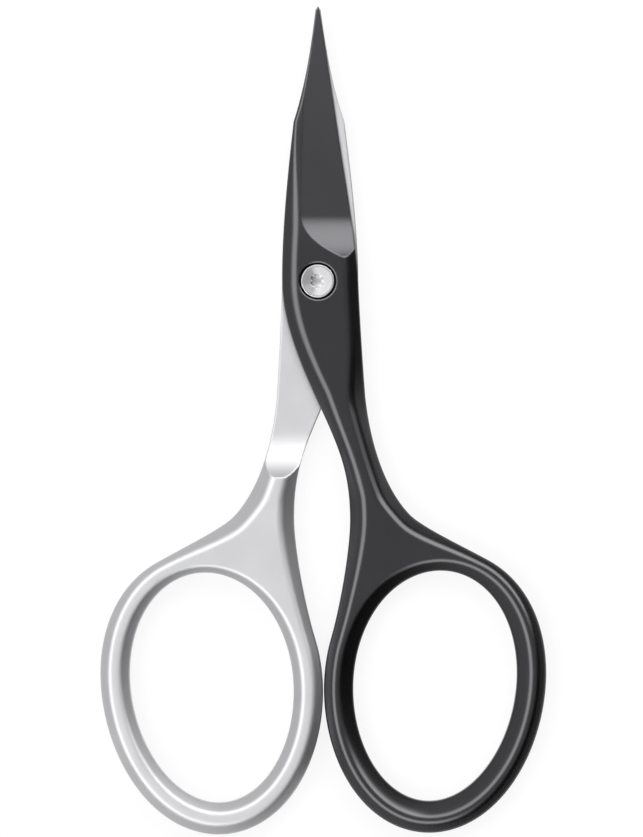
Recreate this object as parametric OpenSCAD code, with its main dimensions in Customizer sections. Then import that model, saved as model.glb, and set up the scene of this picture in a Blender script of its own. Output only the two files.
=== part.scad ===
// Cuticle scissors with tower point blades and two finger rings.
// The scissors lie flat and closed: tips towards +Y, the dark half on top, facing +Z.
// The origin is on the pivot axis, in the plane the scissors rest on. Sizes in millimetres.

/* [Overall] */
// Distance from the pivot axis to the tips
blade_length = 29.9; // [24:0.1:40]
// Distance from the pivot axis to the lowest point of the finger rings
handle_length = 60; // [54:0.5:75]
// Width of each half across the pivot
joint_width = 8.28; // [7.6:0.02:9.6]
// Full thickness of the shanks and rings; each half is half as thick at the pivot
thickness = 3.8; // [3.2:0.1:4.8]
// Sideways distance from the pivot axis to the line between the two rings
midline_offset = 0.27; // [0:0.01:0.4]

/* [Blades] */
// Width of each blade at the knee, where the slender point begins
knee_width = 4.65; // [4:0.01:5.4]
// Position of the knee, as a share of the blade length
knee_share = 0.58; // [0.5:0.01:0.66]
// Width of the very tip of each blade
tip_width = 0.4; // [0.3:0.01:0.6]
// Thickness of each blade at the tip
tip_thickness = 0.55; // [0.4:0.05:0.9]
// Thickness left along the cutting edge
edge_thickness = 0.22; // [0.12:0.01:0.3]
// Slope of the ground face above the inner face, in degrees
grind_angle = 15.9; // [14:0.1:20]
// Distance from the pivot axis at which the ground face begins to run out
grind_start = 7.1; // [6:0.1:9]
// Radius of the mark the grinding wheel leaves at the end of the ground face
grind_radius = 9.5; // [6:0.5:10]
// Depth of the hollow in the inner face of each blade
hollow_depth = 0.12; // [0.05:0.01:0.16]
// Gap between the two inner faces
face_gap = 0.06; // [0.04:0.01:0.1]

/* [Shanks] */
// Slope of the bevels along the edges of joint and ring, in degrees
bevel_angle = 38; // [34:1:42]
// Slope of the same bevels along the shank, in degrees
shank_angle = 45; // [42:1:50]
// Width of the round along the top of each bevel
crest_round = 1.05; // [0.6:0.05:1.2]
// Width of the bevel along the edges at the pivot, with the round at its top
edge_bevel = 1.75; // [1.2:0.05:2]
// Width of the same bevel on the outer side of the shank, where the shank is narrowest
flank_bevel = 2.2; // [1.5:0.05:2.4]
// Width of the same bevel where the shank joins the ring
neck_bevel = 1.9; // [1.4:0.05:2.2]
// Width of each shank where it joins the ring
neck_width = 6.6; // [6:0.1:8]
// Distance from the pivot axis at which the inner face begins to rise to the shoulder
shoulder_at = 16.1; // [15.5:0.1:18]
// Radius of the rise to the shoulder, where the shank becomes full thickness
shoulder_radius = 8; // [6:0.5:9]

/* [Finger rings] */
// Clear width of each finger hole
finger_width = 17.7; // [16:0.1:22]
// Clear height of each finger hole
finger_height = 25; // [22:0.1:29]
// Width of the ring band at the sides
ring_band = 3.2; // [2.8:0.05:3.6]
// Extra band width at the bottom of the ring
bottom_extra = 0.25; // [0:0.05:0.8]
// How much narrower the band is where it leaves the shank at the top
top_taper = 0.75; // [0:0.05:0.9]
// Sideways lean of the finger hole, in degrees
ring_lean = 3.1; // [0:0.1:6]
// How much wider the finger hole is above its middle than below, as a share
egg_share = 0.045; // [0:0.005:0.12]
// Gap between the two rings when the scissors are closed
ring_gap = 0.1; // [0.06:0.02:0.4]

/* [Pivot screw] */
// Diameter of the screw head
head_d = 3.57; // [3.2:0.01:3.8]
// Diameter of the recess the head sits in
recess_d = 4; // [3.9:0.02:4.3]
// Height of the screw head
head_height = 0.85; // [0.7:0.05:1]
// Diameter of the plain shank the dark half turns on
shank_d = 2.4; // [2.2:0.02:2.6]
// Radial clearance between the shank and the dark half
shank_clearance = 0.03; // [0.02:0.01:0.06]
// Diameter of the threaded end held by the bright half
thread_d = 2; // [1.6:0.02:2]
// Width of the six-lobed socket in the head
socket_d = 1.66; // [1.4:0.02:1.8]
// Depth of the socket
socket_depth = 0.55; // [0.4:0.05:0.7]
// Size of the small bevels on the screw
screw_bevel = 0.12; // [0.05:0.01:0.2]

/* [Hidden] */
$fn = 96;
half_thick = thickness / 2;
inner_z = half_thick + face_gap / 2;
joint_half = joint_width / 2;
knee_y = knee_share * blade_length;
// Shares of the ring's band that its bevels take up: the outer one, and the inner one on the
// outer face and on the face turned to the other half
outer_band_share = 0.4;
inner_band_share = 0.56;
facing_band_share = 0.4;
ring_x = ring_gap / 2 + ring_band + finger_width / 2;
ring_y = ring_band + bottom_extra + finger_height / 2 - handle_length;
// Points along each curve of the outline, angle between points round the ring, points up an edge
curve_count = 8;
point_angle = 5;
edge_count = 8;
// Angles between which the ring stands clear of the shank, counted from +X
clear_from_angle = 160;
clear_to_angle = 425;
// Share of a width that its edges may take up each on the blade and the tip, and that the inner
// and the outer edge may take up of the shank
edge_share = 0.33;
inner_share = 0.34;
outer_share = 0.42;
// Where the blade starts to thin out, and where the bevel of its back starts to narrow
taper_from = 0.48 * joint_width;
bevel_from = 0.6 * joint_width;
// Where the edge of the shank starts to turn from a bevel to the rounder edge of the ring
round_from = 0.37 * handle_length;
round_to = 0.63 * handle_length;
// How round the edges of the ring are: 0 is a bevel, 1 is fully round; and the width of the round
// along the top of the ring's bevels
ring_roundness = 0.2;
ring_crest = 0.5;
// Highest share of a bevel that its round may take up
round_limit = 0.65;
// Steps of an edge that make up its upright wall, below the bevel, and the share of the height
// above the middle that the bevel may take up
wall_count = 2;
wall_limit = 0.92;
// How far the screw head and the screw's end lie below the faces around them
head_sink = 0.04;
end_sink = 0.15;
cut = blade_length;
eps = 0.01;

// Cubic curve from a to d, pulled towards b and c
function curve_point(a, b, c, d, t) =
  a * pow(1 - t, 3) + 3 * b * t * pow(1 - t, 2) + 3 * c * t * t * (1 - t) + d * pow(t, 3);
function curve(a, b, c, d, steps) =
  [for (i = [0:steps - 1]) curve_point(a, b, c, d, i / steps)];
function unit(v) = v / norm(v);
function mix(a, b, t) = a + (b - a) * t;
function ease(from, to, v) =
  let (t = min(1, max(0, (v - from) / (to - from))))
  t * t * (3 - 2 * t);

// Edge of the finger hole at angle a, then the same moved outwards by a share of the band
function hole_edge(a) = [
  ring_x + finger_width / 2 * cos(a) * (1 + egg_share * sin(a))
    + finger_height / 2 * sin(a) * tan(ring_lean),
  ring_y + finger_height / 2 * sin(a)
];
function along(a) = unit(hole_edge(a + 0.5) - hole_edge(a - 0.5));
function band(a) =
  ring_band + bottom_extra * pow(max(0, -sin(a)), 2) - top_taper * pow(max(0, sin(a)), 4);
function ring_edge(a, share) =
  hole_edge(a) + [along(a)[1], -along(a)[0]] * band(a) * share;
function ring_along(a) = unit(ring_edge(a + 0.5, 1) - ring_edge(a - 0.5, 1));

// Corner points of the outline of the half whose ring is on the +X side
tip = [0, blade_length];
tip_back = [-0.68 * tip_width, blade_length - tip_width];
tip_edge = [0.32 * tip_width, blade_length - 0.5 * tip_width];
knee_back = [-0.592 * knee_width, knee_y];
knee_edge = [0.408 * knee_width, knee_y];
joint_back = [-joint_half, 0];
joint_edge = [joint_half, 0];
crotch = [-0.138 * joint_half, -3.05 * joint_half];
flank = [1.16 * joint_half, -3.05 * joint_half];
neck_in = [0.46 * neck_width, -0.43 * handle_length];
neck_out = [1.46 * neck_width, neck_in[1] + 0.04 * neck_width];
ring_in = ring_edge(clear_from_angle, 1);
ring_out = ring_edge(clear_to_angle, 1);

// Slopes of the outline at those points: sideways travel for each millimetre along Y
tip_slope = 0.13;
knee_slope = 0.33;
back_slope = 0.125;
crotch_slope = 0.45;
edge_slope = 0.138;
flank_slope = 0.1;

// Outline: down the back and the inner side, round the ring, up the outer side and the edge.
// Length of pull at each end of a curve, as a share of the drop between its ends
function pull(p, q, share) = abs(q[1] - p[1]) * share;
function down(p, q, share, slope) = p + [slope, -1] * pull(p, q, share);
function up(p, q, share, slope) = p + [-slope, 1] * pull(p, q, share);

upper_back = curve(
  tip_back, down(tip_back, knee_back, 0.33, -tip_slope),
  up(knee_back, tip_back, 0.34, -knee_slope), knee_back, curve_count
);
lower_back = curve(
  knee_back, down(knee_back, joint_back, 0.35, -back_slope),
  up(joint_back, knee_back, 0.29, 0), joint_back, curve_count
);
inner_joint = curve(
  joint_back, down(joint_back, crotch, 0.33, 0),
  up(crotch, joint_back, 0.32, crotch_slope), crotch, curve_count
);
inner_shank = curve(
  crotch, down(crotch, neck_in, 0.4, crotch_slope),
  up(neck_in, crotch, 0.4, 0), neck_in, curve_count
);
ring_steps = (clear_to_angle - clear_from_angle) / point_angle;
top_steps = 360 / point_angle - ring_steps;
in_steps = ceil((top_steps - 1) / 2);
out_steps = top_steps - 1 - in_steps;
inner_ring = curve(
  neck_in, down(neck_in, ring_in, 0.24, 0),
  ring_in - ring_along(clear_from_angle) * pull(neck_in, ring_in, 0.3), ring_in, in_steps
);
clear_ring = [for (i = [0:ring_steps - 1]) ring_edge(clear_from_angle + i * point_angle, 1)];
outer_ring = curve(
  ring_out, ring_out + ring_along(clear_to_angle) * pull(ring_out, neck_out, 0.6),
  neck_out + unit([1, -0.96]) * pull(ring_out, neck_out, 0.4), neck_out, out_steps
);
outer_shank = curve(
  neck_out, neck_out + unit([-1, 1.02]) * pull(neck_out, flank, 0.31),
  down(flank, neck_out, 0.39, flank_slope), flank, curve_count
);
outer_joint = curve(
  flank, up(flank, joint_edge, 0.33, 0.07),
  down(joint_edge, flank, 0.28, 0.03), joint_edge, curve_count
);
lower_edge = curve(
  joint_edge, up(joint_edge, knee_edge, 0.18, 0.01),
  down(knee_edge, joint_edge, 0.35, edge_slope), knee_edge, curve_count
);
upper_edge = curve(
  knee_edge, up(knee_edge, tip_edge, 0.32, edge_slope),
  down(tip_edge, knee_edge, 0.33, 0.155), tip_edge, curve_count
);
outline = concat(
  [tip], upper_back, lower_back, inner_joint, inner_shank, inner_ring, clear_ring,
  outer_ring, outer_shank, outer_joint, lower_edge, upper_edge, [tip_edge]
);
points = len(outline);
side = 4 * curve_count + 1;
ring_start = side + in_steps;
hole_points = 360 / point_angle;

// Inward direction at point i of the outline
function inward(i) =
  let (d = unit(outline[(i + 1) % points] - outline[(i + points - 1) % points]))
  [-d[1], d[0]];
function blade_width(i) = norm(outline[i] - outline[points - i]);
// How far the bevel reaches in from the outline: wide on the shank, narrow on the blade,
// and widest on the outer side of the narrow part of the shank
function bevel(y) =
  mix(edge_bevel, neck_bevel, ease(joint_half, -neck_in[1], -y))
  * (1 - 0.8 * ease(bevel_from, 1.06 * knee_y, y));
function outer_bevel(y) =
  mix(
    bevel(y), flank_bevel,
    ease(1.7 * joint_half, -crotch[1] + 1, -y) * (1 - ease(0.35 * handle_length, 0.43 * handle_length, -y))
  );
function ring_reach(i) =
  let (
    step = i - ring_start,
    angle = clear_from_angle + min(ring_steps, max(0, step)) * point_angle,
    near = ease(-in_steps, 0, step) * (1 - ease(0, out_steps, step - ring_steps))
  )
  mix(neck_bevel, outer_band_share * band(angle), near);
function side_reach(wanted, y, width, shank_share) =
  min(wanted, width * mix(edge_share, shank_share, ease(0, 2 * joint_half, -y)));
function reach(i) =
  let (y = outline[i][1])
  i == 0 ? edge_share * tip_width
  : i < side ? side_reach(bevel(y), y, blade_width(i), inner_share)
  : i > points - side ? side_reach(outer_bevel(y), y, blade_width(points - i), outer_share)
  : ring_reach(i);
// Each half thins out from the pivot to the tip
function half_height(y) =
  let (t = max(0, (y - taper_from) / (blade_length - taper_from)))
  half_thick - (half_thick - tip_thickness) * pow(t, 1.15);
function slope_angle(y) =
  mix(bevel_angle, shank_angle, ease(joint_half, shoulder_at, -y) * (1 - ease(round_from, round_to, -y)));
function crest(y) = mix(crest_round, ring_crest, ease(round_from, round_to, -y));
// Section of an edge at step k, as distance inwards and height above the middle: an upright
// wall, a straight bevel and a round along its top
function bevelled(k, width, height, angle, crest_width) =
  let (
    share = max(0, k - wall_count) / (edge_count - wall_count),
    round_share = min(round_limit, crest_width / width),
    steepest = wall_limit * height / (width * (1 - round_share / 2)),
    straight = 1 - round_share / 2 - share,
    drop = share < 1 - round_share ? straight : pow(1 - share, 2) / (2 * round_share)
  )
  [width * share, (height - width * min(steepest, tan(angle)) * drop) * min(1, k / wall_count)];
function rounded(k, width, height) =
  [width * (1 - cos(90 * k / edge_count)), height * sin(90 * k / edge_count)];
function section(k, width, height, angle, crest_width, roundness) =
  mix(bevelled(k, width, height, angle, crest_width), rounded(k, width, height), roundness);

function outer_point(i, k) =
  let (
    p = outline[i],
    roundness = ring_roundness * ease(round_from, round_to, -p[1]),
    s = section(abs(k), reach(i), half_height(p[1]), slope_angle(p[1]), crest(p[1]), roundness),
    q = p + inward(i) * s[0]
  )
  [q[0], q[1], half_thick + sign(k) * s[1]];
function hole_point(j, k) =
  let (
    a = clear_from_angle + j * point_angle,
    share = k < 0 ? facing_band_share : inner_band_share,
    s = section(abs(k), share * band(a), half_thick, bevel_angle, ring_crest, ring_roundness),
    q = ring_edge(a, s[0] / band(a))
  )
  [q[0], q[1], half_thick + sign(k) * s[1]];

rows = 2 * edge_count + 1;
blank_points = concat(
  [for (k = [-edge_count:edge_count], i = [0:points - 1]) outer_point(i, k)],
  [for (k = [-edge_count:edge_count], j = [0:hole_points - 1]) hole_point(j, k)]
);
function outer_at(k, i) = k * points + i % points;
function hole_at(k, j) = rows * points + k * hole_points + j % hole_points;
// The points of the outline that face the finger hole, leaving out blade and shank
function facing(j) =
  j % hole_points <= ring_steps + out_steps ? ring_start + j % hole_points
  : side + j % hole_points - ring_steps - out_steps - 1;
// Two triangles for a patch whose corners run clockwise as seen from outside
function patch(a, b, c, d) = [[a, b, c], [a, c, d]];
function turned(f) = [f[2], f[1], f[0]];
function flat_side(k) = concat(
  [[outer_at(k, 0), outer_at(k, points - 1), outer_at(k, 1)]],
  [
    for (i = [1:side - 1])
      each patch(outer_at(k, i), outer_at(k, points - i), outer_at(k, points - i - 1), outer_at(k, i + 1))
  ],
  [
    for (j = [0:hole_points - 1])
      each patch(outer_at(k, facing(j)), hole_at(k, j), hole_at(k, j + 1), outer_at(k, facing(j + 1)))
  ]
);
blank_faces = concat(
  [
    for (k = [0:rows - 2], i = [0:points - 1])
      each patch(outer_at(k, i), outer_at(k + 1, i), outer_at(k + 1, i + 1), outer_at(k, i + 1))
  ],
  [
    for (k = [0:rows - 2], j = [0:hole_points - 1])
      each patch(hole_at(k, j), hole_at(k, j + 1), hole_at(k + 1, j + 1), hole_at(k + 1, j))
  ],
  flat_side(rows - 1),
  [for (f = flat_side(0)) turned(f)]
);

// Full thickness blank of one half
module half_blank() {
  polyhedron(points = blank_points, faces = blank_faces, convexity = 6);
}

// Space a grinding wheel takes away: a flat floor towards +Y that rises in an arc towards -Y
module wheel_space(wheel_radius) {
  rotate([90, 0, 90])
    translate([0, 0, -cut / 2])
      linear_extrude(cut)
        polygon(concat(
          [[2 * cut, 0]],
          [for (a = [270:-6:192]) wheel_radius * [cos(a), 1 + sin(a)]],
          [[-wheel_radius, 2 * wheel_radius], [2 * cut, 2 * wheel_radius]]
        ));
}

// Space under the upper half, where the other half lies
module joint_space() {
  translate([0, -shoulder_at, inner_z])
    mirror([0, 0, 1])
      wheel_space(shoulder_radius);
}

// Space above the ground face
module grind_space() {
  fall = atan(tan(grind_angle) * edge_slope);
  translate([knee_edge[0] + (knee_y - grind_start) * edge_slope, grind_start, inner_z + edge_thickness])
    rotate([-fall, grind_angle, 0])
      wheel_space(grind_radius);
}

// Shallow hollow in the inner face of the blade, fading towards the tip
module hollow_space() {
  hollow_radius = 3 * knee_width;
  hollow_length = 1.2 * knee_y - grind_start;
  translate([-0.04 * knee_width, 0.85 * grind_start, inner_z + hollow_depth - hollow_radius])
    rotate([-90 - atan(0.8 * hollow_depth / hollow_length), 0, 0])
      cylinder(h = hollow_length, r = hollow_radius, $fn = 240);
}

// One half as it leaves the grinder, before the pivot hole
module half() {
  translate([midline_offset, 0, 0])
    difference() {
      half_blank();
      joint_space();
      grind_space();
      hollow_space();
    }
}

module dark_half() {
  color("#3a3a3c")
    difference() {
      half();
      translate([0, 0, -1])
        cylinder(h = thickness + 2, d = shank_d + 2 * shank_clearance);
      translate([0, 0, thickness - head_height - eps])
        cylinder(h = head_height + 1, d = recess_d);
    }
}

module bright_half() {
  color("#c9c9cc")
    difference() {
      translate([2 * midline_offset, 0, thickness])
        rotate([0, 180, 0])
          half();
      translate([0, 0, -1])
        cylinder(h = thickness + 2, d = thread_d);
    }
}

module pivot_screw() {
  head_top = thickness - head_sink;
  head_base = thickness - head_height;
  shank_end = half_thick - face_gap / 2;
  color("#e2e2e4")
    difference() {
      rotate_extrude()
        polygon([
          [0, end_sink],
          [thread_d / 2 - screw_bevel, end_sink],
          [thread_d / 2, end_sink + screw_bevel],
          [thread_d / 2, shank_end],
          [shank_d / 2, shank_end],
          [shank_d / 2, head_base],
          [head_d / 2, head_base],
          [head_d / 2, head_top - screw_bevel],
          [head_d / 2 - screw_bevel, head_top],
          [0, head_top]
        ]);
      translate([0, 0, head_top - socket_depth])
        socket(socket_depth + 1);
    }
}

// Six-lobed socket
module socket(h) {
  lobe_r = 0.16 * socket_d;
  cylinder(h = h, r = 0.38 * socket_d);
  for (a = [30:60:330])
    rotate(a)
      translate([socket_d / 2 - lobe_r, 0, 0])
        cylinder(h = h, r = lobe_r, $fn = 32);
}

dark_half();
bright_half();
pivot_screw();
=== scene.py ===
import math

import bmesh
import bpy
import numpy as np
from mathutils import Matrix


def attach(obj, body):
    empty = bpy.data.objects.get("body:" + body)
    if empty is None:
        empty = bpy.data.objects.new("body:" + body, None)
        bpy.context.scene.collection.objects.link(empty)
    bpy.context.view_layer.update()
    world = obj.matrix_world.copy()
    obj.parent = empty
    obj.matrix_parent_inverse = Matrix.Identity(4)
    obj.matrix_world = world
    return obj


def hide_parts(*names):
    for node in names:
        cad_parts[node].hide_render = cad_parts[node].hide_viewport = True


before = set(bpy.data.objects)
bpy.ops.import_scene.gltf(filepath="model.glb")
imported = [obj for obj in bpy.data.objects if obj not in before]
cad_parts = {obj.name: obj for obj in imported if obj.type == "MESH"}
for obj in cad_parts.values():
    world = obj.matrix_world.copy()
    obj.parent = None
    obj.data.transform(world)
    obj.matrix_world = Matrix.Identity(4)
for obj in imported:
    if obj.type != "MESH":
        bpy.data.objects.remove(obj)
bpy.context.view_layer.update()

# Cuticle scissors: both halves are made from one blank, which is cut as a grinder cuts it, and a screw joins
# them. The driving sizes and the formulas are those of the CAD source, drawn with more points. Sizes are in
# millimetres, which solid() turns to metres.
MM = 0.001

# Overall
blade_length = 29.9  # from the pivot axis to the tips
handle_length = 60.0  # from the pivot axis to the lowest point of the rings
joint_width = 8.28  # each half, across the pivot
thickness = 3.8  # shanks and rings; each half is half as thick at the pivot
midline_offset = 0.27  # sideways from the pivot axis to the line between the rings

# Blades
knee_width = 4.65  # where the slender point begins
knee_share = 0.58  # place of the knee, as a share of the blade length
tip_width = 0.4
tip_thickness = 0.55
edge_thickness = 0.22  # left along the cutting edge
grind_angle = 15.9  # slope of the ground face, in degrees
grind_start = 7.1  # from the pivot axis to where the ground face begins to run out
grind_radius = 9.5  # of the mark the wheel leaves there
hollow_depth = 0.12  # of the hollow in the inner face
face_gap = 0.06  # between the two inner faces

# Shanks
bevel_angle = 38.0  # along the edges of joint and ring, in degrees
shank_angle = 45.0  # of the same bevels along the shank, in degrees
crest_round = 1.05  # width of the round along the top of each bevel
edge_bevel = 1.75  # width of the bevel at the pivot
flank_bevel = 2.2  # on the outer side of the shank, where the shank is narrowest
neck_bevel = 1.9  # where the shank joins the ring
neck_width = 6.6  # of the shank, there
shoulder_at = 16.1  # from the pivot axis to where the inner face begins to rise
shoulder_radius = 8.0  # of that rise to the shoulder

# Finger rings
finger_width = 17.7  # clear width of the hole
finger_height = 25.0  # clear height of the hole
ring_band = 3.2  # width of the band at the sides
bottom_extra = 0.25  # more of it at the bottom
top_taper = 0.75  # less of it where it leaves the shank at the top
ring_lean = 3.1  # sideways lean of the hole, in degrees
egg_share = 0.045  # how much wider the hole is above its middle than below
ring_gap = 0.1  # between the two rings when the scissors are closed

# Pivot screw
head_d = 3.57
recess_d = 4.0  # of the recess the head sits in
head_height = 0.85
shank_d = 2.4
shank_clearance = 0.03
thread_d = 2.0
socket_d = 1.66  # width of the six-lobed socket
socket_depth = 0.55
screw_bevel = 0.12
head_round = 0.05  # of the rim of the head
head_dish = 5.6  # slope of the head's face, which is turned very slightly hollow, in degrees
punch_angle = 9.0  # slope of the socket's floor, which the punch leaves conical, in degrees
head_sink = 0.04  # of the head below the face around it
end_sink = 0.15  # of the screw's end below the face around it

# Places and shares that follow from these, as in the CAD source
half_thick = thickness / 2
inner_z = half_thick + face_gap / 2
joint_half = joint_width / 2
knee_y = knee_share * blade_length
ring_x = ring_gap / 2 + ring_band + finger_width / 2
ring_y = ring_band + bottom_extra + finger_height / 2 - handle_length
# shares of the ring's band for its outer bevel, and for its inner one outside and towards the other half
outer_band_share, inner_band_share, facing_band_share = 0.4, 0.56, 0.4
# shares of a width that each edge may take up: on the blade, and inside and outside on the shank
edge_share, inner_share, outer_share = 0.33, 0.34, 0.42
# where the blade starts to thin out, and how slowly at first: above 1 is slower
taper_from, taper_curve = 0.48 * joint_width, 1.15
# between which places the bevel of the blade's back narrows, and how much of it goes
back_from, back_to, back_loss = 0.6 * joint_width, 1.06 * knee_y, 0.8
# between which places the outer bevel of the shank widens, and then narrows again
flank_from, flank_to = 1.7 * joint_half, 3.05 * joint_half + 1
neck_from, neck_to = 0.35 * handle_length, 0.43 * handle_length
# where the bevel of the shank turns to the rounder edge of the ring, and how round that is
round_from, round_to = 0.37 * handle_length, 0.63 * handle_length
ring_roundness, ring_crest = 0.2, 0.5
# highest share of a bevel that its round may take up, and of the half's height that the bevel may
round_limit, wall_limit = 0.65, 0.92
# angles between which the ring stands clear of the shank, counted from +X
clear_from_angle, clear_to_angle = 160.0, 425.0

# How finely the outline is drawn: points along each curve, and degrees between points round the ring
curve_count = 22
point_angle = 2.5
ring_steps = round((clear_to_angle - clear_from_angle) / point_angle)
hole_points = round(360 / point_angle)
in_steps = math.ceil((hole_points - ring_steps - 1) / 2)
out_steps = hole_points - ring_steps - 1 - in_steps
# numbers of the points where the outline reaches the neck, and where its ring begins to stand clear
side = 4 * curve_count + 1
ring_start = side + in_steps
# Steps of an edge's section: shares of its upright wall, and then of the width of its bevel and round
wall_shares = (0.0, 0.3, 0.6, 0.85, 0.97)
bevel_shares = (0.03, 0.1, 0.22, 0.36, 0.48, 0.54, 0.6, 0.66, 0.72, 0.79, 0.86, 0.93, 1.0)
edge_count = len(wall_shares) + len(bevel_shares) - 1
rows = 2 * edge_count + 1


def point(x, y):
    return np.array([x, y], float)


def unit(v):
    return v / np.linalg.norm(v)


def mix(a, b, t):
    return a + (b - a) * t


def ease(start, end, v):
    t = min(1.0, max(0.0, (v - start) / (end - start)))
    return t * t * (3 - 2 * t)


def curve(a, b, c, d, steps):
    """Cubic curve from a to d, pulled towards b and c."""
    return [
        a * (1 - t) ** 3 + 3 * b * t * (1 - t) ** 2 + 3 * c * t * t * (1 - t) + d * t**3
        for t in np.arange(steps) / steps
    ]


def pull(p, q, share):
    """Length of pull at the end of a curve, as a share of the drop between its ends."""
    return abs(q[1] - p[1]) * share


def down(p, q, share, slope):
    return p + point(slope, -1) * pull(p, q, share)


def up(p, q, share, slope):
    return p + point(-slope, 1) * pull(p, q, share)


def hole_edge(a):
    """Edge of the finger hole at angle a."""
    c, s = math.cos(math.radians(a)), math.sin(math.radians(a))
    lean = finger_height / 2 * s * math.tan(math.radians(ring_lean))
    return point(ring_x + finger_width / 2 * c * (1 + egg_share * s) + lean, ring_y + finger_height / 2 * s)


def band(a):
    s = math.sin(math.radians(a))
    return ring_band + bottom_extra * max(0, -s) ** 2 - top_taper * max(0, s) ** 4


def ring_edge(a, share):
    """Edge of the finger hole, moved outwards by a share of the band."""
    along = unit(hole_edge(a + 0.5) - hole_edge(a - 0.5))
    return hole_edge(a) + point(along[1], -along[0]) * band(a) * share


def ring_along(a):
    return unit(ring_edge(a + 0.5, 1) - ring_edge(a - 0.5, 1))


# Corner points of the outline of the half whose ring is on the +X side
tip = point(0, blade_length)
tip_back = point(-0.68 * tip_width, blade_length - tip_width)
tip_edge = point(0.32 * tip_width, blade_length - 0.5 * tip_width)
knee_back = point(-0.592 * knee_width, knee_y)
knee_edge = point(0.408 * knee_width, knee_y)
joint_back = point(-joint_half, 0)
joint_edge = point(joint_half, 0)
crotch = point(-0.138 * joint_half, -3.05 * joint_half)
flank = point(1.16 * joint_half, -3.05 * joint_half)
neck_in = point(0.46 * neck_width, -neck_to)
neck_out = point(1.46 * neck_width, neck_in[1] + 0.04 * neck_width)
ring_in = ring_edge(clear_from_angle, 1)
ring_out = ring_edge(clear_to_angle, 1)

# Slopes of the outline at those points: sideways travel for each millimetre along Y
tip_slope = 0.13
knee_slope = 0.33
back_slope = 0.125
crotch_slope = 0.45
edge_slope = 0.138
flank_slope = 0.1


def half_outline():
    """Outline of one half: down its back and inner side, round the ring, and up its outer side and edge."""
    n = curve_count
    outline = [tip]
    # upper and lower back of the blade
    outline += curve(
        tip_back, down(tip_back, knee_back, 0.33, -tip_slope),
        up(knee_back, tip_back, 0.34, -knee_slope), knee_back, n,
    )
    outline += curve(
        knee_back, down(knee_back, joint_back, 0.35, -back_slope),
        up(joint_back, knee_back, 0.29, 0), joint_back, n,
    )
    # inner side of the joint and of the shank
    outline += curve(
        joint_back, down(joint_back, crotch, 0.33, 0),
        up(crotch, joint_back, 0.32, crotch_slope), crotch, n,
    )
    outline += curve(
        crotch, down(crotch, neck_in, 0.4, crotch_slope),
        up(neck_in, crotch, 0.4, 0), neck_in, n,
    )
    # ring: the stretch that leaves the shank, the clear one, and the one back to the shank
    outline += curve(
        neck_in, down(neck_in, ring_in, 0.24, 0),
        ring_in - ring_along(clear_from_angle) * pull(neck_in, ring_in, 0.3), ring_in, in_steps,
    )
    outline += [ring_edge(clear_from_angle + i * point_angle, 1) for i in range(ring_steps)]
    outline += curve(
        ring_out, ring_out + ring_along(clear_to_angle) * pull(ring_out, neck_out, 0.6),
        neck_out + unit(point(1, -0.96)) * pull(ring_out, neck_out, 0.4), neck_out, out_steps,
    )
    # outer side of the shank and of the joint
    outline += curve(
        neck_out, neck_out + unit(point(-1, 1.02)) * pull(neck_out, flank, 0.31),
        down(flank, neck_out, 0.39, flank_slope), flank, n,
    )
    outline += curve(
        flank, up(flank, joint_edge, 0.33, 0.07),
        down(joint_edge, flank, 0.28, 0.03), joint_edge, n,
    )
    # lower and upper cutting edge
    outline += curve(
        joint_edge, up(joint_edge, knee_edge, 0.18, 0.01),
        down(knee_edge, joint_edge, 0.35, edge_slope), knee_edge, n,
    )
    outline += curve(
        knee_edge, up(knee_edge, tip_edge, 0.32, edge_slope),
        down(tip_edge, knee_edge, 0.33, 0.155), tip_edge, n,
    )
    return np.array(outline + [tip_edge])


outline = half_outline()
points = len(outline)
# Inward direction at each of its points
travel = np.roll(outline, -1, 0) - np.roll(outline, 1, 0)
travel /= np.linalg.norm(travel, axis=1)[:, None]
inward = np.c_[-travel[:, 1], travel[:, 0]]


def bevel(y):
    """Width of the bevel: wide on the shank, narrow on the blade."""
    wide = mix(edge_bevel, neck_bevel, ease(joint_half, neck_to, -y))
    return wide * (1 - back_loss * ease(back_from, back_to, y))


def outer_bevel(y):
    """The same on the outer side, where it is widest on the narrow part of the shank."""
    on_flank = ease(flank_from, flank_to, -y) * (1 - ease(neck_from, neck_to, -y))
    return mix(bevel(y), flank_bevel, on_flank)


def reach(i):
    """How far the edge reaches in from point i of the outline."""
    if i == 0:
        return edge_share * tip_width
    if i < side or i > points - side:
        y = outline[i][1]
        wanted, shank_share = (bevel(y), inner_share) if i < side else (outer_bevel(y), outer_share)
        width = np.linalg.norm(outline[i] - outline[points - i])
        return min(wanted, width * mix(edge_share, shank_share, ease(0, 2 * joint_half, -y)))
    step = i - ring_start
    angle = clear_from_angle + min(ring_steps, max(0, step)) * point_angle
    near = ease(-in_steps, 0, step) * (1 - ease(0, out_steps, step - ring_steps))
    return mix(neck_bevel, outer_band_share * band(angle), near)


def half_height(y):
    """Height above the middle of the blank, which thins out from the pivot to the tip."""
    t = max(0, (y - taper_from) / (blade_length - taper_from))
    return half_thick - (half_thick - tip_thickness) * t**taper_curve


def slope_angle(y):
    on_shank = ease(joint_half, shoulder_at, -y) * (1 - ease(round_from, round_to, -y))
    return mix(bevel_angle, shank_angle, on_shank)


def crest(y):
    return mix(crest_round, ring_crest, ease(round_from, round_to, -y))


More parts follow.
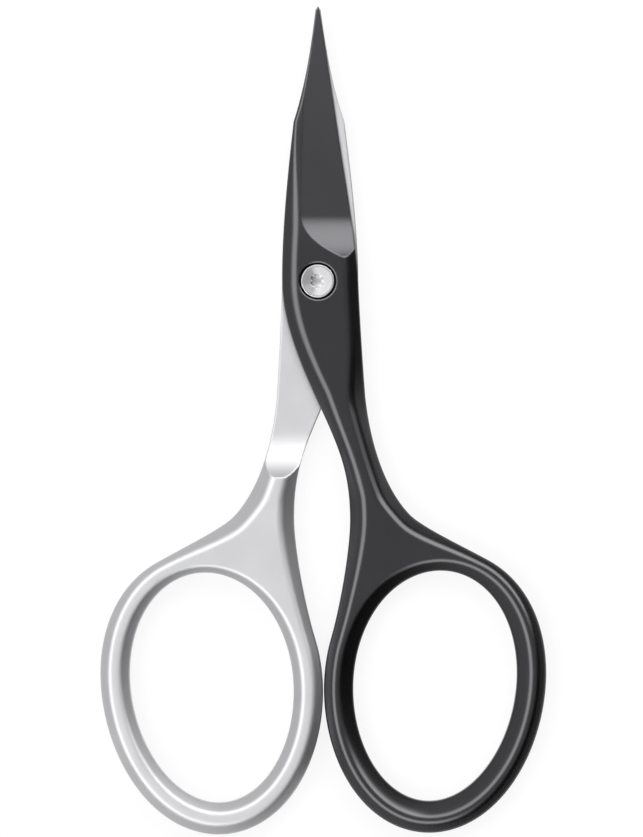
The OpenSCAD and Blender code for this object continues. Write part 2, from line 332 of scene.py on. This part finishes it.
def section(k, width, height, angle, crest_width, roundness):
    """Distance inwards and height above the middle at step k of an edge: an upright wall, a bevel and a
    round along its top, mixed with a fully round edge."""
    share = bevel_shares[k - len(wall_shares)] if k >= len(wall_shares) else 0
    wall = wall_shares[k] if k < len(wall_shares) else 1
    round_share = min(round_limit, crest_width / width)
    steepest = wall_limit * height / (width * (1 - round_share / 2))
    slope = min(math.tan(math.radians(angle)), steepest)
    straight = 1 - round_share / 2 - share
    drop = straight if share < 1 - round_share else (1 - share) ** 2 / (2 * round_share)
    bevelled = point(width * share, (height - width * slope * drop) * wall)
    a = math.pi / 2 * k / edge_count
    return mix(bevelled, point(width * (1 - math.cos(a)), height * math.sin(a)), roundness)


def outer_point(i, k):
    p = outline[i]
    roundness = ring_roundness * ease(round_from, round_to, -p[1])
    inset, height = section(abs(k), reach(i), half_height(p[1]), slope_angle(p[1]), crest(p[1]), roundness)
    return (*(p + inward[i] * inset), half_thick + np.sign(k) * height)


def hole_point(j, k):
    a = clear_from_angle + j * point_angle
    share = facing_band_share if k < 0 else inner_band_share
    inset, height = section(abs(k), share * band(a), half_thick, bevel_angle, ring_crest, ring_roundness)
    return (*ring_edge(a, inset / band(a)), half_thick + np.sign(k) * height)


def outer_at(k, i):
    return k * points + i % points


def hole_at(k, j):
    return rows * points + k * hole_points + j % hole_points


def facing(j):
    """The point of the outline that faces point j of the finger hole."""
    j %= hole_points
    return ring_start + j if j <= ring_steps + out_steps else side + j - ring_steps - out_steps - 1


def solid(name, corners, faces, place=Matrix.Identity(4)):
    """Closed mesh from corners in millimetres, which place moves; its faces are turned outwards."""
    mesh = bpy.data.meshes.new(name)
    mesh.from_pydata(corners, [], faces)
    mesh.transform(Matrix.Scale(MM, 4) @ place)
    bm = bmesh.new()
    bm.from_mesh(mesh)
    bmesh.ops.recalc_face_normals(bm, faces=bm.faces)
    bm.to_mesh(mesh)
    bm.free()
    piece = bpy.data.objects.new(name, mesh)
    bpy.context.scene.collection.objects.link(piece)
    return piece


def half_blank(name):
    """Full thickness blank of one half, as strips of quads between its outline and the finger hole."""
    steps = range(-edge_count, edge_count + 1)
    corners = [outer_point(i, k) for k in steps for i in range(points)]
    corners += [hole_point(j, k) for k in steps for j in range(hole_points)]
    faces = []
    for at, count in ((outer_at, points), (hole_at, hole_points)):
        for k in range(rows - 1):
            faces += [(at(k, i), at(k, i + 1), at(k + 1, i + 1), at(k + 1, i)) for i in range(count)]
    for k in (0, rows - 1):
        faces.append((outer_at(k, 0), outer_at(k, 1), outer_at(k, points - 1)))
        for i in range(1, side):
            across = (outer_at(k, points - i - 1), outer_at(k, points - i))
            faces.append((outer_at(k, i), outer_at(k, i + 1), *across))
        for j in range(hole_points):
            across = (hole_at(k, j + 1), hole_at(k, j))
            faces.append((outer_at(k, facing(j)), outer_at(k, facing(j + 1)), *across))
    return solid(name, corners, faces)


def round_outline(radius, count=128):
    angles = [2 * math.pi * i / count for i in range(count)]
    return [(radius * math.cos(a), radius * math.sin(a)) for a in angles]


def prism(name, base, low, high, place=Matrix.Identity(4)):
    """Solid that stands on a plane outline from low to high."""
    n = len(base)
    corners = [(x, y, z) for z in (low, high) for x, y in base]
    faces = [range(n), range(n, 2 * n)]
    faces += [(i, (i + 1) % n, (i + 1) % n + n, i + n) for i in range(n)]
    return solid(name, corners, faces, place)


def lathe(name, profile, count):
    """Solid turned about the pivot axis; profile runs up from the axis to the axis, as radius and height."""
    (_, bottom), *rims, (_, top) = profile
    corners = [(x, y, z) for r, z in rims for x, y in round_outline(r, count)] + [(0, 0, bottom), (0, 0, top)]
    last = (len(rims) - 1) * count
    faces = []
    for i in range(count):
        j = (i + 1) % count
        faces += [(i + a, j + a, j + a + count, i + a + count) for a in range(0, last, count)]
        faces += [(i, j, len(corners) - 2), (i + last, j + last, len(corners) - 1)]
    return solid(name, corners, faces)


def wheel_space(name, radius, place):
    """Space a grinding wheel takes away: a flat floor towards +Y that rises in an arc towards -Y."""
    far = 2 * blade_length
    arc = np.radians(np.arange(270, 191, -1.5))
    path = [(far, 0), *((radius * math.cos(a), radius * (1 + math.sin(a))) for a in arc)]
    path += [(-radius, 2 * radius), (far, 2 * radius)]
    upright = Matrix.Rotation(math.radians(90), 4, "Z") @ Matrix.Rotation(math.radians(90), 4, "X")
    return prism(name, path, -blade_length / 2, blade_length / 2, place @ upright)


def joint_space():
    """Space under the upper half, where the other half lies."""
    place = Matrix.Translation((0, -shoulder_at, inner_z)) @ Matrix.Diagonal((1, 1, -1, 1))
    return wheel_space("joint_space", shoulder_radius, place)


def grind_space():
    """Space above the ground face, which follows the slope of the cutting edge."""
    fall = math.atan(math.tan(math.radians(grind_angle)) * edge_slope)
    start = (knee_edge[0] + (knee_y - grind_start) * edge_slope, grind_start, inner_z + edge_thickness)
    tilt = Matrix.Rotation(math.radians(grind_angle), 4, "Y") @ Matrix.Rotation(-fall, 4, "X")
    return wheel_space("grind_space", grind_radius, Matrix.Translation(start) @ tilt)


def hollow_space():
    """Shallow hollow in the inner face of the blade, fading towards the tip."""
    radius = 3 * knee_width
    length = 1.2 * knee_y - grind_start
    start = (-0.04 * knee_width, 0.85 * grind_start, inner_z + hollow_depth - radius)
    tilt = Matrix.Rotation(-math.pi / 2 - math.atan(0.8 * hollow_depth / length), 4, "X")
    return prism("hollow_space", round_outline(radius, 720), 0, length, Matrix.Translation(start) @ tilt)


def bore(name, diameter, low):
    """Drilled hole about the pivot axis, from low to past the top."""
    return prism(name, round_outline(diameter / 2), low, thickness + 1)


# Marks that faces carry, as material indices, until the edges between two cuts are found
BLANK, JOINT, GRIND, HOLLOW, DRILL = range(5)


def cut(piece, *cutters):
    """Takes the cutters out of piece; the faces that each leaves carry its mark."""
    for cutter, mark in cutters:
        for face in cutter.data.polygons:
            face.material_index = mark
        for ob in (piece, cutter):
            while len(ob.data.materials) <= DRILL:
                ob.data.materials.append(None)
        taken = piece.modifiers.new("cut", "BOOLEAN")
        taken.operation, taken.solver, taken.object = "DIFFERENCE", "MANIFOLD", cutter
        bpy.context.view_layer.update()
        depsgraph = bpy.context.evaluated_depsgraph_get()
        whole = piece.data
        piece.data = bpy.data.meshes.new_from_object(piece.evaluated_get(depsgraph), depsgraph=depsgraph)
        piece.modifiers.clear()
        bpy.data.meshes.remove(whole)
        bpy.data.objects.remove(cutter)


def shade(piece):
    """Smooth shading that keeps the flats flat, and sharp edges where two cuts meet or a corner is steep."""
    meeting, steep = 3, 28
    weld = 0.001 * MM
    bm = bmesh.new()
    bm.from_mesh(piece.data)
    bmesh.ops.remove_doubles(bm, verts=bm.verts, dist=weld)
    bmesh.ops.dissolve_degenerate(bm, edges=bm.edges, dist=weld)
    for edge in bm.edges:
        bend = math.degrees(edge.calc_face_angle(0)) if len(edge.link_faces) == 2 else 0
        cuts_meet = len({face.material_index for face in edge.link_faces}) > 1
        edge.smooth = bend < (meeting if cuts_meet else steep)
    for face in bm.faces:
        face.smooth = True
        face.material_index = BLANK
    bm.to_mesh(piece.data)
    bm.free()
    normals = piece.modifiers.new("flat_normals", "WEIGHTED_NORMAL")
    normals.mode, normals.keep_sharp, normals.weight = "FACE_AREA", True, 50


def make_halves():
    """Both halves from one blank: the bright one is the dark one turned over, and each is then drilled."""
    dark = half_blank("dark_blade_and_ring")
    cut(dark, (joint_space(), JOINT), (grind_space(), GRIND), (hollow_space(), HOLLOW))
    dark.data.transform(Matrix.Translation((midline_offset * MM, 0, 0)))
    bright = dark.copy()
    bright.data = dark.data.copy()
    bright.name = "bright_blade_and_ring"
    bpy.context.scene.collection.objects.link(bright)
    lifted = Matrix.Translation((2 * midline_offset * MM, 0, thickness * MM))
    bright.data.transform(lifted @ Matrix.Rotation(math.pi, 4, "Y"))
    # the recess ends a hair below the head
    recess = bore("recess", recess_d, thickness - head_height - 0.01)
    cut(dark, (bore("shank_hole", shank_d + 2 * shank_clearance, -1), DRILL), (recess, DRILL))
    cut(bright, (bore("tapped_hole", thread_d, -1), DRILL))
    return dark, bright


def socket_reach(a):
    """Distance from the axis to the socket's wall at angle a: its core, or one of six lobes beyond it."""
    core, lobe = 0.38 * socket_d, 0.16 * socket_d
    reached = [core]
    for lobe_angle in range(30, 360, 60):
        turn = math.radians(lobe_angle) - a
        along = (socket_d / 2 - lobe) * math.cos(turn)
        across = (socket_d / 2 - lobe) * math.sin(turn)
        if along > 0 and abs(across) < lobe:
            reached.append(along + math.sqrt(lobe**2 - across**2))
    return max(reached)


def socket_punch(head_top):
    """Punch of the six-lobed socket, with a conical end."""
    angles = [math.radians(i) for i in range(360)]
    wall = [(socket_reach(a) * math.cos(a), socket_reach(a) * math.sin(a)) for a in angles]
    slope = math.tan(math.radians(punch_angle))
    deepest = head_top - socket_depth - slope * socket_d / 3
    n = len(wall)
    corners = [(x, y, head_top + 1) for x, y in wall]
    corners += [(x, y, deepest + slope * math.hypot(x, y)) for x, y in wall]
    corners.append((0, 0, deepest))
    faces = [range(n)]
    for i in range(n):
        j = (i + 1) % n
        faces += [(i, j, j + n, i + n), (i + n, j + n, 2 * n)]
    return solid("socket_punch", corners, faces)


def make_screw():
    """Pivot screw: threaded end, plain shank and flush head, turned in one, with the socket punched in."""
    head_top, head_base = thickness - head_sink, thickness - head_height
    shank_end = half_thick - face_gap / 2
    thread_r, shank_r, head_r = thread_d / 2, shank_d / 2, head_d / 2
    dish = math.tan(math.radians(head_dish))
    profile = [(0, end_sink), (thread_r - screw_bevel, end_sink), (thread_r, end_sink + screw_bevel)]
    profile += [(thread_r, shank_end), (shank_r, shank_end), (shank_r, head_base), (head_r, head_base)]
    for a in np.radians(range(0, 91, 15)):
        profile.append((head_r - head_round * (1 - math.cos(a)), head_top - head_round * (1 - math.sin(a))))
    for share in (0.85, 0.7, 0.5, 0.3, 0):
        profile.append((head_r * share, head_top - (head_r * (1 - share) - head_round) * dish))
    screw = lathe("pivot_screw_detailed", profile, 192)
    cut(screw, (socket_punch(head_top), DRILL))
    return screw


dark, bright = make_halves()
screw = make_screw()
for piece in (dark, bright, screw):
    shade(piece)

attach(dark, "dark_side")
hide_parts("dark_half")
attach(bright, "bright_side")
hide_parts("bright_half")
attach(screw, "bright_side")
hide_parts("pivot_screw")


def linear(hexa):
    """Linear colour of an sRGB hex value."""
    shares = [int(hexa[i : i + 2], 16) / 255 for i in (1, 3, 5)]
    return (*(c / 12.92 if c <= 0.04045 else ((c + 0.055) / 1.055) ** 2.4 for c in shares), 1.0)


def new_material(name):
    material = bpy.data.materials.new(name)
    material.use_nodes = True
    material.node_tree.nodes.clear()
    return material


def add(tree, kind, *inputs, named=None, **settings):
    """Adds a node with its settings; inputs, in order or by name, are numbers, colours, nodes or outputs."""
    node = tree.nodes.new(kind)
    for key, value in settings.items():
        setattr(node, key, value)
    for place, value in [*enumerate(inputs), *(named or {}).items()]:
        if isinstance(value, bpy.types.Node):
            value = value.outputs[0]
        if isinstance(value, bpy.types.NodeSocket):
            tree.links.new(value, node.inputs[place])
        elif value is not None:
            node.inputs[place].default_value = value
    return node


def painted_gap_shade(tree):
    """Share of its colour that steel keeps: painted shade, which darkens the colour in gaps narrower than
    about 0.5 mm, the more the more closed in they are.
    """
    openness = add(tree, "ShaderNodeAmbientOcclusion", named={"Distance": 0.5 * MM}, samples=8)
    return add(tree, "ShaderNodeMapRange", openness.outputs["AO"], 0.2, 0.8, 0.25, 1)


def satin_steel(name, colour, rubbed_colour, roughness, grit, length):
    """Steel ground with a fine belt, whose scratches are grit millimetres wide and length times as long; the
    hand has rubbed its edges bright."""
    material = new_material(name)
    tree = material.node_tree
    place = add(tree, "ShaderNodeTexCoord").outputs["Object"]
    along = add(tree, "ShaderNodeMapping", place, named={"Scale": (1, 1 / length, 1)})
    belt = {"Scale": 1 / (grit * MM), "Detail": 3, "Roughness": 0.6}
    scratches = add(tree, "ShaderNodeTexNoise", along, named=belt)
    # clouds 6 mm across, where the belt bore harder
    clouds = add(tree, "ShaderNodeTexNoise", place, named={"Scale": 1 / (6 * MM), "Detail": 2})
    tone = add(tree, "ShaderNodeMapRange", clouds, 0.3, 0.7, 0.96, 1.03)
    ground = add(tree, "ShaderNodeVectorMath", linear(colour)[:3], named={"Scale": tone}, operation="SCALE")
    # every edge is broken by a round of 0.3 mm, drawn a little wide so that it shows; it is rubbed bright,
    # and the scratches break its line
    rounded = add(tree, "ShaderNodeBevel", 0.3 * MM, samples=8)
    flat = add(tree, "ShaderNodeNewGeometry").outputs["Normal"]
    agreement = add(tree, "ShaderNodeVectorMath", rounded, flat, operation="DOT_PRODUCT").outputs["Value"]
    on_edge = add(tree, "ShaderNodeMapRange", agreement, 0.995, 0.93, 0, 0.8)
    rubbed = add(tree, "ShaderNodeMath", on_edge, scratches, operation="MULTIPLY")
    # a colour mix takes its share at 0 and its colours at 6 and 7, and gives its colour at 2
    mixed = {0: rubbed, 6: ground, 7: linear(rubbed_colour)}
    tint = add(tree, "ShaderNodeMix", named=mixed, data_type="RGBA").outputs[2]
    # painted shade: the colour is darkened in gaps narrower than about 0.5 mm
    tint = add(tree, "ShaderNodeVectorMath", tint, named={"Scale": painted_gap_shade(tree)}, operation="SCALE")
    gloss = add(tree, "ShaderNodeMapRange", scratches, 0.25, 0.75, roughness - 0.03, roughness + 0.03)
    relief = add(tree, "ShaderNodeBump", 0.2, 0.004 * MM, named={"Height": scratches, "Normal": rounded})
    surface = add(
        tree, "ShaderNodeBsdfPrincipled",
        named={"Base Color": tint, "Metallic": 1.0, "Roughness": gloss, "Normal": relief},
    )
    add(tree, "ShaderNodeOutputMaterial", surface)
    return material


def anthracite_coated_steel():
    """Stainless steel, belt ground and then coated anthracite: nearly black, with a soft sheen, because the
    thin hard coat keeps the satin of the steel. The scratches are about 0.02 mm wide and drawn at 0.07 mm, to
    show."""
    return satin_steel("anthracite_coated_steel", "#555557", "#8a8a8c", roughness=0.24, grit=0.07, length=1)


def satin_stainless_steel():
    """The same steel left bare: a matt satin that blurs what it mirrors. Its scratches run along the
    tool. They are about 0.02 mm wide and drawn at 0.08 mm, to show."""
    return satin_steel("satin_stainless_steel", "#c4c4c6", "#dededf", roughness=0.46, grit=0.08, length=14)


def polished_turned_steel():
    """Steel turned on a lathe and polished: fine rings round the axis, which spread a light into a fan. They
    are about 0.01 mm apart and drawn at 0.055 mm, to show."""
    material = new_material("polished_turned_steel")
    tree = material.node_tree
    place = add(tree, "ShaderNodeTexCoord").outputs["Object"]
    xyz = add(tree, "ShaderNodeSeparateXYZ", place)
    across = add(tree, "ShaderNodeCombineXYZ", xyz.outputs[0], xyz.outputs[1])
    radius = add(tree, "ShaderNodeVectorMath", across, operation="LENGTH").outputs["Value"]
    turning = {"W": radius, "Scale": 1 / (0.055 * MM), "Detail": 2}
    rings = add(tree, "ShaderNodeTexNoise", named=turning, noise_dimensions="1D")
    gloss = add(tree, "ShaderNodeMapRange", rings, 0.3, 0.7, 0.17, 0.23)
    rounded = add(tree, "ShaderNodeBevel", 0.05 * MM, samples=8)
    relief = add(tree, "ShaderNodeBump", 0.3, 0.002 * MM, named={"Height": rings, "Normal": rounded})
    steel = linear("#ececee")[:3]
    # painted shade: the colour is darkened in gaps narrower than about 0.5 mm
    tint = add(tree, "ShaderNodeVectorMath", steel, named={"Scale": painted_gap_shade(tree)}, operation="SCALE")
    surface = add(
        tree, "ShaderNodeBsdfPrincipled",
        named={
            "Base Color": tint, "Metallic": 1.0, "Roughness": gloss, "Normal": relief,
            "Anisotropic": 0.85, "Anisotropic Rotation": 0.25,
            "Tangent": add(tree, "ShaderNodeTangent", direction_type="RADIAL", axis="Z"),
        },
    )
    add(tree, "ShaderNodeOutputMaterial", surface)
    return material


def pale_painted_floor():
    """Pale matt paint, which the camera and the metal see as a white background with soft shadows."""
    material = new_material("pale_painted_floor")
    tree = material.node_tree
    ray = add(tree, "ShaderNodeLightPath").outputs
    seen = add(tree, "ShaderNodeMath", ray["Is Camera Ray"], ray["Is Glossy Ray"], operation="MAXIMUM")
    seen = add(tree, "ShaderNodeMath", seen, ray["Is Transmission Ray"], operation="MAXIMUM")
    white_share = add(tree, "ShaderNodeMath", seen, 0.85, operation="MULTIPLY")
    paint = add(tree, "ShaderNodeBsdfDiffuse", linear("#eeeeee"))
    white = add(tree, "ShaderNodeEmission", linear("#ffffff"), 1.0)
    add(tree, "ShaderNodeOutputMaterial", add(tree, "ShaderNodeMixShader", white_share, paint, white))
    return material


# The floor: a slab whose top lies just under the scissors
floor_reach, floor_top, floor_slab = 1500, -0.02, 5
floor_outline = [(x * floor_reach, y * floor_reach) for x, y in ((-1, -1), (1, -1), (1, 1), (-1, 1))]
floor = prism("floor", floor_outline, floor_top - floor_slab, floor_top)

finishes = (
    (dark, anthracite_coated_steel()),
    (bright, satin_stainless_steel()),
    (screw, polished_turned_steel()),
    (floor, pale_painted_floor()),
)
for piece, material in finishes:
    piece.data.materials.clear()
    piece.data.materials.append(material)


def studio_light():
    """Pale studio: walls, a ceiling and two long softboxes, laid out by turn and height in degrees. Turn is 0
    on the left, 90 behind the tips, -90 in front and 180 on the right."""
    world = bpy.data.worlds.new("studio")
    world.use_nodes = True
    tree = world.node_tree
    tree.nodes.clear()
    smooth = {"interpolation_type": "SMOOTHSTEP"}
    degree = math.radians(1)
    sky = add(tree, "ShaderNodeTexCoord").outputs["Generated"]
    x, y, z = add(tree, "ShaderNodeSeparateXYZ", sky).outputs
    left = add(tree, "ShaderNodeMath", x, -1.0, operation="MULTIPLY")
    turn = add(tree, "ShaderNodeMath", y, left, operation="ARCTAN2")
    turn = add(tree, "ShaderNodeMath", turn, degree, operation="DIVIDE")
    high = add(tree, "ShaderNodeMath", z, operation="ARCSINE")
    high = add(tree, "ShaderNodeMath", high, degree, operation="DIVIDE")
    aside = add(tree, "ShaderNodeMath", turn, operation="ABSOLUTE")
    # plain walls, a little darker in front and much darker on the right
    walls = add(tree, "ShaderNodeMapRange", aside, 75, 130, 0.5, 0.04, **smooth)
    front = add(tree, "ShaderNodeMapRange", turn, -130, -40, 0.62, 1.0, **smooth)
    walls = add(tree, "ShaderNodeMath", walls, front, operation="MULTIPLY")
    # the ceiling comes down further on the left than on the right
    higher = add(tree, "ShaderNodeMapRange", aside, 60, 150, 0, 12, **smooth)
    towards_ceiling = add(tree, "ShaderNodeMath", high, higher, operation="SUBTRACT")
    ceiling = add(tree, "ShaderNodeMapRange", towards_ceiling, 30, 62, 0, 1, **smooth)
    level = add(tree, "ShaderNodeMix", ceiling, None, walls, 0.34)
    # a softbox round the left side, and one behind the tips on the right: the heights and turns between which
    # each shines, how soft these limits are, and its strength
    for heights, turns, height_soft, turn_soft, strength in (
        ((36, 72), (-112, 104), 6, 14, 2.4),
        ((24, 60), (100, 160), 5, 8, 3.3),
    ):
        box = strength
        for value, (start, end), soft in ((high, heights, height_soft), (turn, turns, turn_soft)):
            for limit, below, above in ((start, 0, 1), (end, 1, 0)):
                limits = (limit - soft, limit + soft)
                fade = add(tree, "ShaderNodeMapRange", value, *limits, below, above, **smooth)
                box = add(tree, "ShaderNodeMath", box, fade, operation="MULTIPLY")
        level = add(tree, "ShaderNodeMath", box, level, operation="ADD")
    add(tree, "ShaderNodeOutputWorld", add(tree, "ShaderNodeBackground", linear("#ffffff"), level))
    return world


def photo_camera():
    """Camera square above the scissors, far enough away to draw them nearly flat, as in the photograph."""
    frame_height, pixel_size = 837, 0.10843
    middle_x, middle_y, roll = 0.291, -14.909, -0.46
    data = bpy.data.cameras.new("camera")
    data.lens, data.sensor_width = 300.0, 36.0
    data.clip_start, data.clip_end = 0.01, 20.0
    distance = frame_height * pixel_size * data.lens / data.sensor_width
    camera = bpy.data.objects.new("camera", data)
    camera.location = (middle_x * MM, middle_y * MM, (distance + thickness) * MM)
    camera.rotation_euler = (0, 0, math.radians(roll))
    bpy.context.scene.collection.objects.link(camera)
    return camera


bpy.context.scene.world = studio_light()
bpy.context.scene.camera = photo_camera()
bpy.context.scene.view_settings.view_transform = "Standard"
